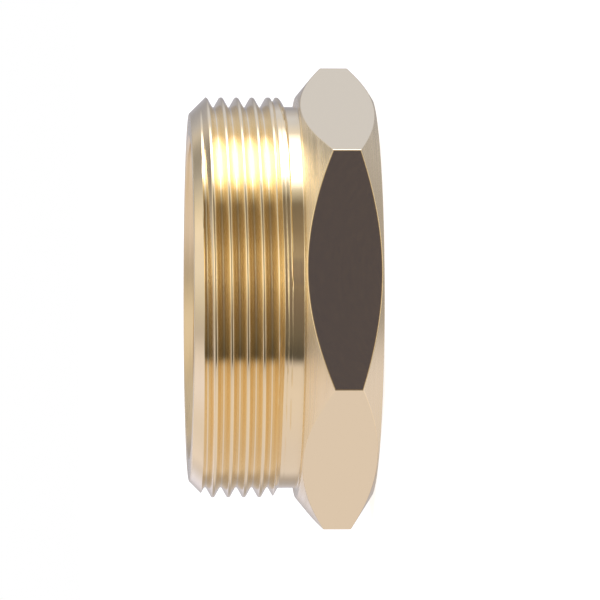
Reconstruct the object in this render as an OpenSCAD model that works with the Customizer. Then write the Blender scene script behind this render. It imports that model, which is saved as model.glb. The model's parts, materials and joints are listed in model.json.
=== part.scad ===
// Reducing bushing, hexagon pattern, turned from one length of hexagonal brass bar.
// It stands on the face of its hexagon with the male thread pointing up, along +Z,
// and the origin is the centre of that face. The smaller pipe screws in from below.

/* [Hexagon] */
// Width of the hexagon across its flats
hex_across_flats = 60.2; // [60:0.1:70]
// Height of the hexagon, from its face to the shoulder under the thread
hex_height = 11.2; // [8:0.1:20]
// How far the flat ring on the hexagon's face stops short of the flats
face_inset = 0.4; // [0.1:0.1:3]
// Angle of the chamfer round the face, measured from the face
face_chamfer_angle = 32.5; // [15:0.5:45]
// How far the flat ring on the shoulder stops short of the flats
shoulder_inset = 0.15; // [0.05:0.05:0.3]
// Angle of the chamfer round the shoulder, measured from the shoulder
shoulder_chamfer_angle = 39.5; // [15:0.5:45]

/* [Male thread] */
// Diameter over the crests of the male thread
male_crest_d = 59.6; // [56:0.05:59.6]
// Distance from the shoulder to the end of the barrel
barrel_length = 15.9; // [12:0.1:40]
// Distance from one crest of the male thread to the next
male_pitch = 2.309; // [1.5:0.001:2.5]
// Length of the plain neck under the thread, where the threading tool ran out
neck_length = 2.2; // [1:0.1:4]
// Length of the 45 degree chamfer that leads the thread in
lead_chamfer = 2.4; // [1.6:0.1:3]

/* [Female thread] */
// Diameter of the bore, over the crests of the female thread
bore_d = 44.85; // [36:0.05:47]
// Distance from one crest of the female thread to the next
female_pitch = 2.309; // [1.5:0.001:2.5]
// Length of the 45 degree countersink at each mouth of the bore
countersink = 1.8; // [0.5:0.1:2.4]

/* [Hidden] */
$fn = 180;

total_height = hex_height + barrel_length;
hex_corner_r = hex_across_flats / 2 / cos(30);

// Whitworth form, which both threads have: a 55 degree V that loses a sixth of its
// height at crest and root, so that the flats left there are a sixth of the pitch
thread_angle = 55;
function thread_flat(pitch) = pitch / 6;
function groove_mouth(pitch) = pitch - thread_flat(pitch);
function flank_length(pitch) = (groove_mouth(pitch) - thread_flat(pitch)) / 2;
function groove_depth(pitch) = flank_length(pitch) / tan(thread_angle / 2);

male_crest_r = male_crest_d / 2;
male_root_r = male_crest_r - groove_depth(male_pitch);
bore_r = bore_d / 2;
bore_root_r = bore_r + groove_depth(female_pitch);

// The neck is turned to the depth of the male grooves, and its upper end rises to the
// first crest along a flank of the thread
neck_top = hex_height + neck_length;
first_crest = neck_top + flank_length(male_pitch);
male_first_groove = first_crest + thread_flat(male_pitch) + groove_mouth(male_pitch) / 2;

// The male grooves go up to where the lead chamfer has come down to their depth
male_threads_end = total_height - lead_chamfer + groove_depth(male_pitch);
male_grooves = floor((male_threads_end - male_first_groove) / male_pitch) + 1;

// The female grooves fill the wall of the bore between its countersinks
female_grooves = floor((total_height - 2 * countersink) / female_pitch);
female_first_groove = total_height / 2 - (female_grooves - 1) / 2 * female_pitch;

// How far a shape that joins or cuts another runs past the other's surface
overrun = 1;

// Hexagon whose corners are turned off by a cone on each side, as bar is faced on a
// lathe: each cone starts just inside the flats, and leaves a curved edge on them
module flange() {
    face_r = hex_across_flats / 2 - face_inset;
    shoulder_r = hex_across_flats / 2 - shoulder_inset;
    intersection() {
        cylinder(h = hex_height, r = hex_corner_r, $fn = 6);
        cylinder(h = hex_height, r1 = face_r, r2 = face_r + hex_height / tan(face_chamfer_angle));
        cylinder(h = hex_height, r1 = shoulder_r + hex_height / tan(shoulder_chamfer_angle), r2 = shoulder_r);
    }
}

// Neck, barrel and lead chamfer, as turned before the thread is cut
module barrel_blank() {
    rotate_extrude()
        polygon([
            [0, hex_height - overrun],
            [male_root_r, hex_height - overrun],
            [male_root_r, neck_top],
            [male_crest_r, first_crest],
            [male_crest_r, total_height - lead_chamfer],
            [male_crest_r - lead_chamfer, total_height],
            [0, total_height]
        ]);
}

// Grooves of a thread, one pitch apart, each turn closed into a ring around its height.
// They widen from the roots to the crests, and go on from there into the open
module thread_grooves(first, count, pitch, crest_r, root_r) {
    open_r = crest_r + sign(crest_r - root_r) * overrun;
    mouth = groove_mouth(pitch) / 2;
    bottom = thread_flat(pitch) / 2;
    for (turn = [0 : count - 1])
        translate([0, 0, first + turn * pitch])
            rotate_extrude()
                polygon([
                    [root_r, -bottom],
                    [crest_r, -mouth],
                    [open_r, -mouth],
                    [open_r, mouth],
                    [crest_r, mouth],
                    [root_r, bottom]
                ]);
}

// Cone that opens a mouth of the bore, with the mouth in the plane z = 0
module mouth_cone() {
    translate([0, 0, -overrun])
        cylinder(h = countersink + overrun, r1 = bore_r + countersink + overrun, r2 = bore_r);
}

// Bore, threaded and open from end to end, with a countersink at each mouth
module bore() {
    translate([0, 0, -overrun])
        cylinder(h = total_height + 2 * overrun, r = bore_r);
    mouth_cone();
    translate([0, 0, total_height])
        mirror([0, 0, 1])
            mouth_cone();
    thread_grooves(female_first_groove, female_grooves, female_pitch, bore_r, bore_root_r);
}

module bushing() {
    color([0.80, 0.66, 0.42])
        difference() {
            union() {
                flange();
                barrel_blank();
            }
            thread_grooves(male_first_groove, male_grooves, male_pitch, male_crest_r, male_root_r);
            bore();
        }
}

bushing();
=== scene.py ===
import json
import math

import bmesh
import bpy
import numpy as np
from mathutils import Matrix, Vector


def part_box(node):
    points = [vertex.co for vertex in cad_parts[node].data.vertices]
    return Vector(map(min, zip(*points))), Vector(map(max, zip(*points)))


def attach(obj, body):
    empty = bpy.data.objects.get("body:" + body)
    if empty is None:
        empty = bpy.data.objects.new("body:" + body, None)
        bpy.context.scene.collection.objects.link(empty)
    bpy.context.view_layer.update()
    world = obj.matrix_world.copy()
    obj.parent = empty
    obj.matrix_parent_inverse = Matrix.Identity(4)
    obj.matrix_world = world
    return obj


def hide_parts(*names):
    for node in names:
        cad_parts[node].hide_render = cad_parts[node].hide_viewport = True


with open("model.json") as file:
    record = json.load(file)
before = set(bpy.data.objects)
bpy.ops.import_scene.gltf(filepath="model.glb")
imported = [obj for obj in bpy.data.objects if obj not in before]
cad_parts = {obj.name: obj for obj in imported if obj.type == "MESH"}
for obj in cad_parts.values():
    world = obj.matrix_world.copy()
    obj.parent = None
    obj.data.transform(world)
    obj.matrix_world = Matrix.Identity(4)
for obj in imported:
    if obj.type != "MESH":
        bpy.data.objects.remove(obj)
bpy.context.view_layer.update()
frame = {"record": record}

# Hexagon: the brass bar, sixty millimetres across its flats, that the whole fitting is
# turned from in one piece. A cone turned on each side takes the bar's corners off and
# leaves a curved edge on every flat.
MM = 0.001
high_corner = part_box("bushing")[1]
mounts = {mount["name"]: mount for mount in frame["record"]["mounts"]}

corner_radius = high_corner.x
flat_radius = high_corner.y
shoulder = mounts["shoulder"]["pos_m"][2]
face_inset = 0.40 * MM
face_chamfer = math.radians(32.5)
shoulder_inset = 0.15 * MM
shoulder_chamfer = math.radians(39.5)
shoulder_ring = flat_radius - shoulder_inset
edge_break = 0.12 * MM
corner_round = 0.25 * MM

thread_end = high_corner.z
bore_crest_radius = mounts["female_thread"]["dims"]["r_mm"] * MM
countersink = (thread_end - mounts["female_thread"]["dims"]["length_mm"] * MM) / 2
mouth_radius = bore_crest_radius + countersink

# Columns of the mesh run round the axis from the corner on +X, one every two degrees.
# They crowd at the six corners, so that each one gets its small rounded edge.
side_span = math.radians(60)
half_span = side_span / 2
corner_width = corner_round * math.tan(half_span) / corner_radius
crowd = corner_width * np.array([-1.25, -0.75, -0.25, 0.25, 0.75, 1.25])
even_angles = np.radians(np.arange(1, 360, 2))
corner_angles = (np.radians(np.arange(0, 360, 60))[:, None] + crowd).ravel()
column_angle = np.sort(np.concatenate([even_angles, corner_angles % math.tau]))
columns = len(column_angle)


def wrap(radius, height):
    """Points at the given radii and heights. X and Y are the radius times the cosine and
    the sine of the column's angle."""
    return np.stack([radius * np.cos(column_angle), radius * np.sin(column_angle), height], -1)


def rings(rows):
    """Grid of level rings, one for each (radius, height) row, each a number or one value
    per column. The 0 says that a ring meets itself in its own row."""
    radius = np.array([np.broadcast_to(r, columns) for r, z in rows])
    height = np.array([np.broadcast_to(z, columns) for r, z in rows])
    return wrap(radius, height), 0


def flange_zones():
    """Rows from the bore's mouth out over the face, up the flats and in over the shoulder.
    Each of the three zones starts with the last row of the one before. The hexagon's radius
    at an angle is its flat radius over the cosine of the angle from the nearest flat, less
    a rounding that grows as the square of the nearness to a corner. Each edge is an arc of
    a few points, given in shares of the edge break."""
    from_corner = abs((column_angle + half_span) % side_span - half_span)
    corner_drop = corner_round * (1 / math.cos(half_span) - 1)
    hexagon = flat_radius / np.cos(half_span - from_corner)
    hexagon -= corner_drop * np.clip(1 - from_corner / corner_width, 0, 1) ** 2
    face_ring = flat_radius - face_inset
    lower = (hexagon - face_ring) * math.tan(face_chamfer)
    upper = shoulder - (hexagon - shoulder_ring) * math.tan(shoulder_chamfer)
    soft = edge_break
    face = [
        (mouth_radius, 0.0),
        (mouth_radius + soft / 2, 0.0),
        (mouth_radius + soft, 0.0),
        (face_ring - soft * 3, 0.0),
        (face_ring - soft, 0.0),
        (face_ring, soft * 0.10),
        (face_ring + soft * 0.85, soft * 0.62),
    ]
    for share in (0.35, 0.7, 0.96):
        face.append((face_ring + (hexagon - face_ring) * share, lower * share))
    flats = [
        (hexagon - soft * 0.65, lower - soft * 0.42),
        (hexagon - soft * 0.18, lower + soft * 0.05),
        (hexagon, lower + soft * 0.55),
        (hexagon, lower + soft * 1.4),
    ]
    for share in (0.35, 0.65):
        flats.append((hexagon, lower + (upper - lower) * share))
    flats += [
        (hexagon, upper - soft * 1.4),
        (hexagon, upper - soft * 0.55),
        (hexagon - soft * 0.18, upper - soft * 0.05),
        (hexagon - soft * 0.65, upper + soft * 0.52),
    ]
    cone = []
    for share in (0.96, 0.7, 0.35):
        cone.append((shoulder_ring + (hexagon - shoulder_ring) * share,
                     shoulder - (shoulder - upper) * share))
    cone += [
        (shoulder_ring + soft * 0.8, shoulder - soft * 0.70),
        (shoulder_ring, shoulder - soft * 0.08),
        (shoulder_ring - soft, shoulder),
    ]
    return face, face[-1:] + flats, flats[-1:] + cone


# Male thread: the two inch parallel pipe thread, eleven turns to the inch. Its crests
# and roots are rounded. It starts in the lead chamfer, and its last groove loses depth
# and lead before it drops into the plain neck by the shoulder.
crest_radius = mounts["male_thread"]["dims"]["r_mm"] * MM
pitch = 2.309 * MM
thread_angle = math.radians(55)
crest_land = pitch / 6
crest_round = 0.30 * MM
root_round = 0.24 * MM
groove_depth = 1.478 * MM
lead_chamfer = 2.4 * MM
neck_above_root = 0.08 * MM
neck_radius = crest_radius - groove_depth + neck_above_root
neck_length = 1.85 * MM
neck_slope = 1.1 * MM
neck_fillet = edge_break * 2

# The camera looks at the part from this angle round its axis. In the upper outline that
# it sees, the topmost crest lies this far below the end. The first groove grows from
# nothing to its full depth between the two distances of its middle from the end.
camera_azimuth = math.radians(-97.5)
top_crest = 2.38 * MM
lead_in = (0.7 * MM, 1.7 * MM)

# Run-out: the last groove takes over where the regular one fades out. Each pair gives
# places on its way, in shares of a turn, and its value there, which holds on after them.
run_out_start = 4 * pitch + top_crest
run_out_blend = 0.3 * pitch
run_out_lag = ((0, 0.5, 0.72, 0.78, 0.84, 0.93, 1),
               (0, 0.42 * MM, 0.32 * MM, 0.34 * MM, 0.60 * MM, 0.67 * MM, 0.62 * MM))
run_out_lift = ((0, 0.4, 0.55, 0.68, 0.9), (0, 0.9 * MM, 0.9 * MM, 0.16 * MM, 0.08 * MM))
run_out_width = ((0.5, 0.72), (0, 2.2 * MM))
ripple_count = 3
ripple_height = 0.06 * MM
ripple_pitch = 0.60 * MM
ripple_first = 0.42 * MM
ripple_floor = 0.45
ripple_share = ((0.5, 0.62, 0.92, 1), (0, 1, 1, 0.3))

# Height by which a thread has climbed at each column, and the slack by which a row that
# lies on the border of two turns is counted to the upper one.
climb = pitch * column_angle / math.tau
slack = 1e-9


def helix(section, first, start, end, radius_at):
    """Grid whose rows wind round the axis as a right-hand thread does. section lists heights
    within one pitch; row by row they repeat upwards from first, and each row climbs by one
    pitch in a turn. Heights are held between start and end, so that rows which leave the
    thread close up into its end rings, as the spare turns below it do. radius_at(height,
    wound height) gives the radii. The number says how many rows up a row meets itself."""
    spare_turns = 2
    turns = math.ceil((end - start) / pitch) + spare_turns + 1
    base = first + pitch * (math.floor((start - first) / pitch) - spare_turns)
    row_height = (base + pitch * np.arange(turns + 1)[:, None] + section).ravel()
    wound = row_height[:, None] + climb
    height = np.clip(wound, start, end)
    return wrap(radius_at(height, wound), height), len(section)


def groove_section(corner_rows, flank_rows):
    """Heights and depths across one pitch of the thread, from the middle of one crest to the
    middle of the next: half a rounded crest, a straight flank and half a round root, and
    the same mirrored. The flanks stand at half the thread angle to the axis' normal."""
    half = thread_angle / 2
    edge_in = crest_round * math.tan((math.pi / 2 - half) / 2)
    sweep = np.linspace(0, math.pi / 2 - half, corner_rows)
    crest_x = crest_land / 2 - edge_in + crest_round * np.sin(sweep)
    crest_y = crest_round * (1 - np.cos(sweep))
    sweep = np.linspace(math.pi / 2 - half, 0, corner_rows)
    root_x = pitch / 2 - root_round * np.sin(sweep)
    root_y = groove_depth - root_round + root_round * np.cos(sweep)
    flank = np.linspace(0, 1, flank_rows + 2)[1:-1]
    flank_x = crest_x[-1] + (root_x[0] - crest_x[-1]) * flank
    flank_y = crest_y[-1] + (root_y[0] - crest_y[-1]) * flank
    x = np.concatenate([[0], crest_x, flank_x, root_x])
    y = np.concatenate([[0], crest_y, flank_y, root_y])
    return np.concatenate([x, pitch - x[-2:0:-1]]), np.concatenate([y, y[-2:0:-1]])


def groove_depth_at(offset):
    """Depth of a full groove at a distance from its middle."""
    section_x, section_y = groove_section(corner_rows=6, flank_rows=1)
    return np.interp(pitch / 2 - abs(offset), section_x, section_y)


def male_thread():
    """Grid of the thread between the neck and the end of the barrel. Its radius is the least
    of the turned blank's, the regular thread's and the run-out groove's. That groove goes on
    for more than a turn where the regular one stops. It lags behind, rises on its way, and
    then widens towards the neck, where the tool left narrow ridges with a flat floor in
    between."""
    section_x, section_y = groove_section(corner_rows=6, flank_rows=6)
    neck_top = shoulder + neck_length
    camera_top = camera_azimuth + math.pi / 2
    first = thread_end - top_crest - pitch * (camera_top % math.tau) / math.tau
    turn = (camera_top + math.pi - column_angle) % math.tau / math.tau

    def radius_at(height, wound):
        phase = (wound - climb - first) / pitch
        cell = np.floor(phase + slack)
        depth = np.interp((phase - cell) * pitch, section_x, section_y)
        from_end = thread_end - first - climb - (cell + 0.5) * pitch
        start = np.clip((from_end - lead_in[0]) / (lead_in[1] - lead_in[0]), 0, 1)
        stop = np.clip((run_out_start + run_out_blend - from_end) / run_out_blend, 0, 1)
        radius = crest_radius - depth * start * stop
        for run in (turn, turn + 1):
            lag = np.interp(run, *run_out_lag)
            lift = np.interp(run, *run_out_lift)
            width = np.interp(run, *run_out_width)
            offset = height - (thread_end - run_out_start - run * pitch + lag)
            from_middle = np.where(offset < 0, np.minimum(offset + width, 0), offset)
            groove = np.maximum(groove_depth_at(from_middle) - lift, 0)
            ridge = np.clip((-offset - ripple_first) / ripple_pitch, -0.5, ripple_count - 0.5)
            rise = np.maximum(2 * abs(ridge % 1 - 0.5) - ripple_floor, 0) / (1 - ripple_floor)
            ripple = ripple_height * np.interp(run, *ripple_share) * rise ** 2
            radius = np.minimum(radius, crest_radius - groove + ripple)
        slope = np.clip((height - neck_top) / neck_slope, 0, 1)
        neck = neck_radius + (crest_radius - neck_radius) * np.sin(math.pi / 2 * slope)
        blank = np.minimum(neck, crest_radius + thread_end - lead_chamfer - height)
        return np.minimum(radius, blank)

    return helix(section_x, first, shoulder + neck_fillet, thread_end - edge_break, radius_at)


def neck_rings():
    """Rings from the shoulder in to the foot of the neck, with a small turned fillet."""
    return [
        (shoulder_ring - edge_break, shoulder),
        (shoulder_ring - edge_break * 3, shoulder),
        (neck_radius + neck_fillet * 1.5, shoulder),
        (neck_radius + neck_fillet, shoulder),
        (neck_radius + neck_fillet * 0.5, shoulder + neck_fillet * 0.13),
        (neck_radius + neck_fillet * 0.13, shoulder + neck_fillet * 0.5),
        (neck_radius, shoulder + neck_fillet),
    ]


# Bore: the one and a half inch thread of the smaller pipe, with the same pitch and form,
# cut right through. The countersinks at both mouths let a pipe start.
def female_thread():
    """Grid of the bore from mouth to mouth. Its radius is the greater of the thread's and
    the countersinks'."""
    section_x, section_y = groove_section(corner_rows=3, flank_rows=0)

    def radius_at(height, wound):
        part = (wound - climb) / pitch
        part = part - np.floor(part + slack)
        depth = np.interp(part * pitch, np.append(section_x, pitch), np.append(section_y, 0))
        from_mouth = np.minimum(height, thread_end - height)
        return np.maximum(bore_crest_radius + depth, mouth_radius - from_mouth)

    return helix(section_x, 0.0, 0.0, thread_end, radius_at)


def end_face_rings():
    """Rings over the end of the barrel, from its lead chamfer in to the bore's mouth."""
    end_ring = crest_radius - lead_chamfer
    soft = edge_break
    return [
        (end_ring + soft, thread_end - soft),
        (end_ring + soft * 0.45, thread_end - soft * 0.5),
        (end_ring - soft * 0.1, thread_end - soft * 0.1),
        (end_ring - soft * 0.8, thread_end),
        (mouth_radius + soft, thread_end),
        (mouth_radius, thread_end),
    ]


# The piece: all these surfaces in one shell of brass. The flats are milled bright, the
# cones, faces and both threads show the lathe's fine marks, and the bore is rougher and
# has a darker brass colour. The four finishes stand in the same order as their numbers here.
milled, turned, threaded, bored = range(4)
merge_distance = 1e-4 * MM
sharp_edge = math.radians(40)


def grid_faces(rows, shift, offset):
    """Faces between neighbouring rows and columns. The last column joins the first one,
    shift rows further up, because a wound row meets itself one pitch higher."""
    lower = np.arange(rows - 1)[:, None] * columns + np.arange(columns - 1)
    body = np.stack([lower, lower + 1, lower + columns + 1, lower + columns], -1).reshape(-1, 4)
    last = np.arange(rows - 1 - shift) * columns + columns - 1
    first = (np.arange(rows - 1 - shift) + shift) * columns
    seam = np.stack([last, first, first + columns, last + columns], -1)
    return np.concatenate([body, seam]) + offset


def build_bushing():
    """Joins the zones' grids into one closed shell by merging the rings they share."""
    face, flats, cone = flange_zones()
    zones = [
        (rings(face), turned),
        (rings(flats), milled),
        (rings(cone), turned),
        (rings(neck_rings()), turned),
        (male_thread(), threaded),
        (rings(end_face_rings()), turned),
        (female_thread(), bored),
    ]
    points, faces, finish = [], [], []
    offset = 0
    for (grid, shift), zone in zones:
        zone_faces = grid_faces(len(grid), shift, offset)
        points.append(grid.reshape(-1, 3))
        faces.append(zone_faces)
        finish.append(np.full(len(zone_faces), zone))
        offset += grid.shape[0] * columns
    mesh = bpy.data.meshes.new("bushing_body")
    mesh.from_pydata(np.concatenate(points).tolist(), [], np.concatenate(faces).tolist())
    mesh.polygons.foreach_set("material_index", np.concatenate(finish).astype(np.int32))
    shell = bmesh.new()
    shell.from_mesh(mesh)
    bmesh.ops.remove_doubles(shell, verts=shell.verts, dist=merge_distance)
    bmesh.ops.recalc_face_normals(shell, faces=shell.faces)
    shell.to_mesh(mesh)
    shell.free()
    mesh.shade_smooth()
    mesh.set_sharp_from_angle(angle=sharp_edge)
    piece = bpy.data.objects.new("bushing_body", mesh)
    bpy.context.scene.collection.objects.link(piece)
    return piece


def brass(name, colour, roughness, anisotropy, grain, mark_size, mark_depth):
    """Brass with fine tool marks. The noise that raises them reads X and Y, shrunk to the
    grain's share, and along Z the height plus a multiple of the radius. With a small grain
    the marks run round the axis. They change the roughness by a share up and down."""
    radius_weight = 1.7
    uneven = 0.15
    material = bpy.data.materials.new(name)
    material.use_nodes = True
    nodes, links = material.node_tree.nodes, material.node_tree.links
    shader = nodes["Principled BSDF"]
    shader.inputs["Base Color"].default_value = (*colour, 1)
    shader.inputs["Metallic"].default_value = 1.0
    shader.inputs["Anisotropic"].default_value = anisotropy
    shader.inputs["Anisotropic Rotation"].default_value = 0.25
    tangent = nodes.new("ShaderNodeTangent")
    tangent.direction_type = "RADIAL"
    tangent.axis = "Z"
    links.new(tangent.outputs["Tangent"], shader.inputs["Tangent"])

    coordinates = nodes.new("ShaderNodeTexCoord")
    split = nodes.new("ShaderNodeSeparateXYZ")
    links.new(coordinates.outputs["Object"], split.inputs[0])
    level = nodes.new("ShaderNodeCombineXYZ")
    links.new(split.outputs["X"], level.inputs["X"])
    links.new(split.outputs["Y"], level.inputs["Y"])
    radius = nodes.new("ShaderNodeVectorMath")
    radius.operation = "LENGTH"
    links.new(level.outputs[0], radius.inputs[0])
    around = nodes.new("ShaderNodeVectorMath")
    around.operation = "SCALE"
    around.inputs["Scale"].default_value = grain
    links.new(level.outputs[0], around.inputs[0])
    along = nodes.new("ShaderNodeMath")
    along.operation = "MULTIPLY_ADD"
    along.inputs[1].default_value = radius_weight
    links.new(radius.outputs["Value"], along.inputs[0])
    links.new(split.outputs["Z"], along.inputs[2])
    lift = nodes.new("ShaderNodeCombineXYZ")
    links.new(along.outputs[0], lift.inputs["Z"])
    stretched = nodes.new("ShaderNodeVectorMath")
    stretched.operation = "ADD"
    links.new(around.outputs[0], stretched.inputs[0])
    links.new(lift.outputs[0], stretched.inputs[1])

    marks = nodes.new("ShaderNodeTexNoise")
    marks.inputs["Scale"].default_value = 1 / mark_size
    marks.inputs["Detail"].default_value = 4
    marks.inputs["Roughness"].default_value = 0.6
    links.new(stretched.outputs[0], marks.inputs["Vector"])
    bump = nodes.new("ShaderNodeBump")
    bump.inputs["Strength"].default_value = 1.0
    bump.inputs["Distance"].default_value = mark_depth
    links.new(marks.outputs["Fac"], bump.inputs["Height"])
    links.new(bump.outputs["Normal"], shader.inputs["Normal"])
    dull = nodes.new("ShaderNodeMapRange")
    dull.inputs["From Min"].default_value = 0.3
    dull.inputs["From Max"].default_value = 0.7
    dull.inputs["To Min"].default_value = roughness * (1 - uneven)
    dull.inputs["To Max"].default_value = roughness * (1 + uneven)
    links.new(marks.outputs["Fac"], dull.inputs["Value"])
    links.new(dull.outputs["Result"], shader.inputs["Roughness"])
    return material


bright = (0.93, 0.77, 0.49)
# The bore's brass has a darker colour than the rest of the piece.
darker_brass = (0.85, 0.67, 0.39)
finishes = (
    brass("brass_flats", bright, roughness=0.08, anisotropy=0, grain=0.3,
          mark_size=0.4 * MM, mark_depth=0.0005 * MM),
    brass("brass_turned", bright, roughness=0.26, anisotropy=0.94, grain=0.02,
          mark_size=0.5 * MM, mark_depth=0.004 * MM),
    brass("brass_thread", bright, roughness=0.16, anisotropy=0.94, grain=0.02,
          mark_size=0.4 * MM, mark_depth=0.003 * MM),
    brass("brass_bore", darker_brass, roughness=0.30, anisotropy=0.90, grain=0.02,
          mark_size=0.4 * MM, mark_depth=0.004 * MM))

bushing = build_bushing()
for material in finishes:
    bushing.data.materials.append(material)
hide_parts("bushing")
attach(bushing, "root")

# Camera: a long lens level with the part, which it sees lying on its side with the
# thread to the left, a little from the thread's end.
camera_distance = 0.684
camera_rise = math.radians(3.15)
aim = Vector((0, 0, 10.5 * MM))
aim_below_axis = 0.39 * MM

toward_camera = Vector((math.cos(camera_rise) * math.cos(camera_azimuth),
                        math.cos(camera_rise) * math.sin(camera_azimuth),
                        math.sin(camera_rise)))
image_up = Vector((-math.sin(camera_azimuth), math.cos(camera_azimuth), 0))
image_right = image_up.cross(toward_camera)
camera_spot = aim - image_up * aim_below_axis + toward_camera * camera_distance
camera = bpy.data.objects.new("camera", bpy.data.cameras.new("camera"))
camera.data.lens = 275
camera.data.sensor_width = 36
camera.data.clip_start = 0.01
camera.matrix_world = Matrix.Translation(camera_spot) @ Matrix(
    (image_right, image_up, toward_camera)).transposed().to_4x4()
bpy.context.scene.collection.objects.link(camera)
bpy.context.scene.camera = camera

# Floor: pale paper a hair under the standing part. Mirrors don't see it, and it is open
# to a view from below, so that the part's underside can be looked at.
paper_reach = 6.0
paper_top = -0.02 * MM
floor_mesh = bpy.data.meshes.new("floor")
floor_mesh.from_pydata([(-paper_reach, -paper_reach, paper_top),
                        (paper_reach, -paper_reach, paper_top),
                        (paper_reach, paper_reach, paper_top),
                        (-paper_reach, paper_reach, paper_top)], [], [(0, 1, 2, 3)])
floor = bpy.data.objects.new("floor", floor_mesh)
bpy.context.scene.collection.objects.link(floor)
floor.visible_glossy = False


def white_paper():
    """Pale matt paper that glows up to white for the camera alone."""
    material = bpy.data.materials.new("white_paper")
    material.use_nodes = True
    nodes, links = material.node_tree.nodes, material.node_tree.links
    nodes.clear()
    diffuse = nodes.new("ShaderNodeBsdfDiffuse")
    diffuse.inputs["Color"].default_value = (0.6, 0.6, 0.6, 1)
    glow = nodes.new("ShaderNodeEmission")
    glow.inputs["Strength"].default_value = 0.75
    both = nodes.new("ShaderNodeAddShader")
    links.new(diffuse.outputs[0], both.inputs[0])
    links.new(glow.outputs[0], both.inputs[1])
    rays = nodes.new("ShaderNodeLightPath")
    pick = nodes.new("ShaderNodeMixShader")
    links.new(rays.outputs["Is Camera Ray"], pick.inputs[0])
    links.new(diffuse.outputs[0], pick.inputs[1])
    links.new(both.outputs[0], pick.inputs[2])
    side = nodes.new("ShaderNodeNewGeometry")
    clear = nodes.new("ShaderNodeBsdfTransparent")
    open_below = nodes.new("ShaderNodeMixShader")
    links.new(side.outputs["Backfacing"], open_below.inputs[0])
    links.new(pick.outputs[0], open_below.inputs[1])
    links.new(clear.outputs[0], open_below.inputs[2])
    out = nodes.new("ShaderNodeOutputMaterial")
    links.new(open_below.outputs[0], out.inputs[0])
    return material


floor_mesh.materials.append(white_paper())


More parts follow.
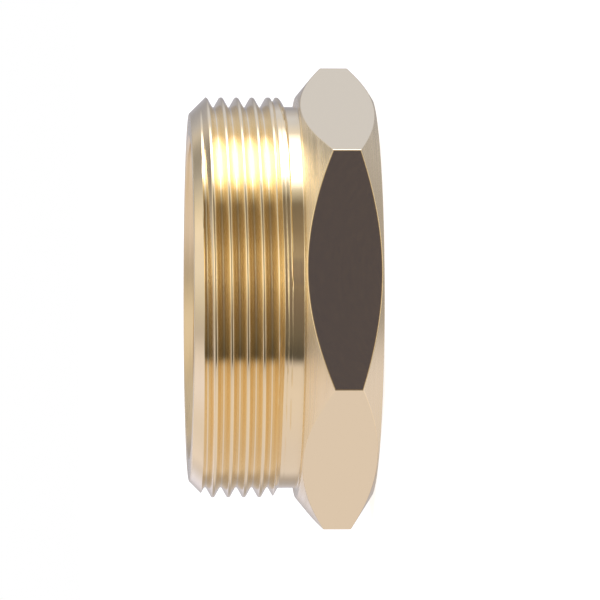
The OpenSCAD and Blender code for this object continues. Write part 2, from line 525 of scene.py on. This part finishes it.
# Studio: white surroundings for the camera, and for the brass a long soft light above the
# picture, pale walls to both sides and a dark room in front. The front flat mirrors a
# narrow gap in that room, and the lead chamfer mirrors a dim corner of the left wall.
def studio_world():
    """Light by direction. X points from the part to the camera, Y up in the picture and Z to
    its left. A belt of lamps and dark stretches runs round the part, by the angle from X
    towards Y. Beyond its edges lie paler bands, and beyond those the two walls, by Y."""
    belt_left_edge = (0.38, 0.56)
    belt_right_edge = (-0.64, -0.46)
    wall_edge = (0.72, 0.92)
    middle = (-0.15, 0.15)
    low_lamp = (-145, -166)
    low_lamp_reach = 0.31
    gap_right = 0.055
    gap_half_width = (0.065, 0.035)
    gap_start = (6, 9)
    gap_end = (25, 21)
    gap_light = (0.085, 0.080, 0.115)
    corner_direction = Vector((-0.52, 0.40, 0.75)).normalized()
    corner_size = math.radians(18)
    corner_dimming = 0.66

    world = bpy.data.worlds.new("studio")
    world.use_nodes = True
    nodes, links = world.node_tree.nodes, world.node_tree.links
    nodes.clear()

    def value(operation, *entries):
        step = nodes.new("ShaderNodeMath")
        step.operation = operation
        for slot, entry in zip(step.inputs, entries):
            if isinstance(entry, (int, float)):
                slot.default_value = entry
            else:
                links.new(entry, slot)
        return step.outputs[0]

    def ramp(position, low, high, stops):
        share = nodes.new("ShaderNodeMapRange")
        share.inputs["From Min"].default_value = low
        share.inputs["From Max"].default_value = high
        links.new(position, share.inputs["Value"])
        band = nodes.new("ShaderNodeValToRGB")
        elements = band.color_ramp.elements
        while len(elements) < len(stops):
            elements.new(1.0)
        for element, (place, colour) in zip(elements, stops):
            element.position = (place - low) / (high - low)
            element.color = (*colour, 1)
        links.new(share.outputs["Result"], band.inputs["Fac"])
        return band.outputs["Color"]

    def mix(factor, first, second):
        blend = nodes.new("ShaderNodeMix")
        blend.data_type = "RGBA"
        links.new(factor, blend.inputs[0])
        links.new(first, blend.inputs[6])
        links.new(second, blend.inputs[7])
        return blend.outputs[2]

    def smooth(position, low, high):
        step = nodes.new("ShaderNodeMapRange")
        step.interpolation_type = "SMOOTHSTEP"
        step.inputs["From Min"].default_value = low
        step.inputs["From Max"].default_value = high
        links.new(position, step.inputs["Value"])
        return step.outputs["Result"]

    direction = nodes.new("ShaderNodeTexCoord")
    seen_from_camera = nodes.new("ShaderNodeMapping")
    seen_from_camera.inputs["Rotation"].default_value[2] = -camera_azimuth
    links.new(direction.outputs["Generated"], seen_from_camera.inputs["Vector"])
    split = nodes.new("ShaderNodeSeparateXYZ")
    links.new(seen_from_camera.outputs[0], split.inputs[0])
    ahead, up, left = (split.outputs[axis] for axis in "XYZ")
    angle = value("DEGREES", value("ARCTAN2", up, ahead))

    belt = ramp(angle, -180, 180, [
        (-180, (0.50, 0.50, 0.56)),
        (-165, (0.58, 0.56, 0.62)),
        (-153, (0.46, 0.44, 0.48)),
        (-143, (0.48, 0.44, 0.46)),
        (-131, (0.78, 0.74, 0.82)),
        (-105, (0.77, 0.73, 0.82)),
        (-60, (0.83, 0.77, 0.81)),
        (-42, (0.77, 0.71, 0.74)),
        (-37, (0.08, 0.075, 0.07)),
        (-22, (0.16, 0.14, 0.12)),
        (-4, (0.21, 0.17, 0.15)),
        (5, (0.24, 0.195, 0.16)),
        (13, (0.38, 0.30, 0.24)),
        (23, (0.41, 0.34, 0.27)),
        (40, (0.27, 0.22, 0.17)),
        (58, (0.20, 0.17, 0.14)),
        (68, (0.75, 0.73, 0.70)),
        (81, (3.7, 3.8, 4.3)),
        (98, (3.7, 3.8, 4.3)),
        (117, (0.87, 0.86, 0.94)),
        (130, (0.68, 0.73, 0.93)),
        (138, (0.68, 0.73, 0.93)),
        (145, (0.56, 0.58, 0.70)),
        (160, (0.36, 0.37, 0.45)),
        (180, (0.50, 0.50, 0.56))])
    left_band = ramp(angle, -180, 180, [
        (-180, (0.55, 0.54, 0.62)),
        (-157, (1.00, 1.02, 1.30)),
        (-149, (0.90, 0.84, 0.92)),
        (-130, (0.78, 0.74, 0.82)),
        (-85, (0.82, 0.75, 0.72)),
        (-58, (0.66, 0.61, 0.58)),
        (-44, (0.22, 0.20, 0.18)),
        (-14, (0.42, 0.38, 0.32)),
        (2, (1.12, 1.02, 0.84)),
        (14, (1.62, 1.52, 1.32)),
        (27, (1.52, 1.43, 1.24)),
        (42, (0.82, 0.77, 0.69)),
        (60, (0.50, 0.47, 0.44)),
        (80, (1.00, 1.00, 1.12)),
        (102, (1.00, 1.00, 1.12)),
        (126, (0.58, 0.58, 0.64)),
        (146, (0.62, 0.59, 0.60)),
        (160, (0.46, 0.45, 0.52)),
        (180, (0.55, 0.54, 0.62))])
    right_band = ramp(angle, -180, 180, [
        (-180, (0.60, 0.58, 0.66)),
        (-160, (0.82, 0.78, 0.86)),
        (-135, (0.90, 0.84, 0.87)),
        (-60, (0.86, 0.79, 0.76)),
        (-44, (0.36, 0.33, 0.30)),
        (-22, (0.50, 0.46, 0.40)),
        (0, (1.25, 1.14, 0.98)),
        (14, (1.72, 1.62, 1.42)),
        (27, (1.58, 1.49, 1.28)),
        (46, (0.90, 0.84, 0.74)),
        (60, (0.62, 0.59, 0.56)),
        (80, (1.00, 1.00, 1.12)),
        (102, (1.00, 1.00, 1.12)),
        (126, (0.42, 0.43, 0.52)),
        (165, (0.47, 0.47, 0.53)),
        (180, (0.60, 0.58, 0.66))])
    left_wall = ramp(up, -1, 1, [
        (-1.0, (0.90, 0.90, 1.12)),
        (-0.45, (0.90, 0.88, 1.10)),
        (-0.32, (0.86, 0.82, 0.93)),
        (-0.20, (0.58, 0.55, 0.60)),
        (-0.10, (0.64, 0.61, 0.62)),
        (0.02, (0.76, 0.73, 0.74)),
        (0.14, (0.86, 0.83, 0.87)),
        (0.26, (0.88, 0.84, 0.87)),
        (0.36, (1.00, 0.94, 0.93)),
        (0.45, (0.80, 0.74, 0.66)),
        (0.60, (0.54, 0.53, 0.56)),
        (1.0, (0.50, 0.50, 0.56))])
    right_wall = ramp(up, -1, 1, [
        (-1.0, (0.88, 0.86, 1.04)),
        (-0.20, (0.92, 0.89, 1.04)),
        (-0.09, (0.38, 0.37, 0.41)),
        (0.02, (0.38, 0.37, 0.41)),
        (0.12, (0.48, 0.47, 0.54)),
        (0.5, (0.48, 0.47, 0.54)),
        (0.8, (0.38, 0.38, 0.44))])

    from_gap = value("ABSOLUTE", value("ADD", left, gap_right))
    gap_length = value("MULTIPLY", smooth(angle, *gap_start), smooth(angle, *gap_end))
    gap = value("MULTIPLY", smooth(from_gap, *gap_half_width), gap_length)
    gap_colour = nodes.new("ShaderNodeRGB")
    gap_colour.outputs[0].default_value = (*gap_light, 1)
    belt = mix(gap, belt, gap_colour.outputs[0])

    on_left = smooth(left, *middle)
    bands = mix(on_left, right_band, left_band)
    walls = mix(on_left, right_wall, left_wall)
    inner = mix(smooth(left, *belt_right_edge), bands, belt)
    low_left = value("MULTIPLY", smooth(angle, *low_lamp), low_lamp_reach)
    outer = mix(smooth(value("ADD", left, low_left), *belt_left_edge), inner, bands)
    surroundings = mix(smooth(value("ABSOLUTE", left), *wall_edge), outer, walls)

    corner = nodes.new("ShaderNodeVectorMath")
    corner.operation = "DOT_PRODUCT"
    corner.inputs[1].default_value = corner_direction
    links.new(seen_from_camera.outputs[0], corner.inputs[0])
    near_corner = smooth(corner.outputs["Value"], math.cos(corner_size), 1.0)
    dim = value("SUBTRACT", 1.0, value("MULTIPLY", near_corner, corner_dimming))
    shaded = nodes.new("ShaderNodeVectorMath")
    shaded.operation = "SCALE"
    links.new(surroundings, shaded.inputs[0])
    links.new(dim, shaded.inputs["Scale"])

    light = nodes.new("ShaderNodeBackground")
    links.new(shaded.outputs[0], light.inputs["Color"])
    white = nodes.new("ShaderNodeBackground")
    white.inputs["Color"].default_value = (1, 1, 1, 1)
    rays = nodes.new("ShaderNodeLightPath")
    seen = nodes.new("ShaderNodeMixShader")
    links.new(rays.outputs["Is Camera Ray"], seen.inputs[0])
    links.new(light.outputs[0], seen.inputs[1])
    links.new(white.outputs[0], seen.inputs[2])
    out = nodes.new("ShaderNodeOutputWorld")
    links.new(seen.outputs[0], out.inputs[0])
    return world


bpy.context.scene.world = studio_world()
bpy.context.scene.view_settings.view_transform = "Standard"
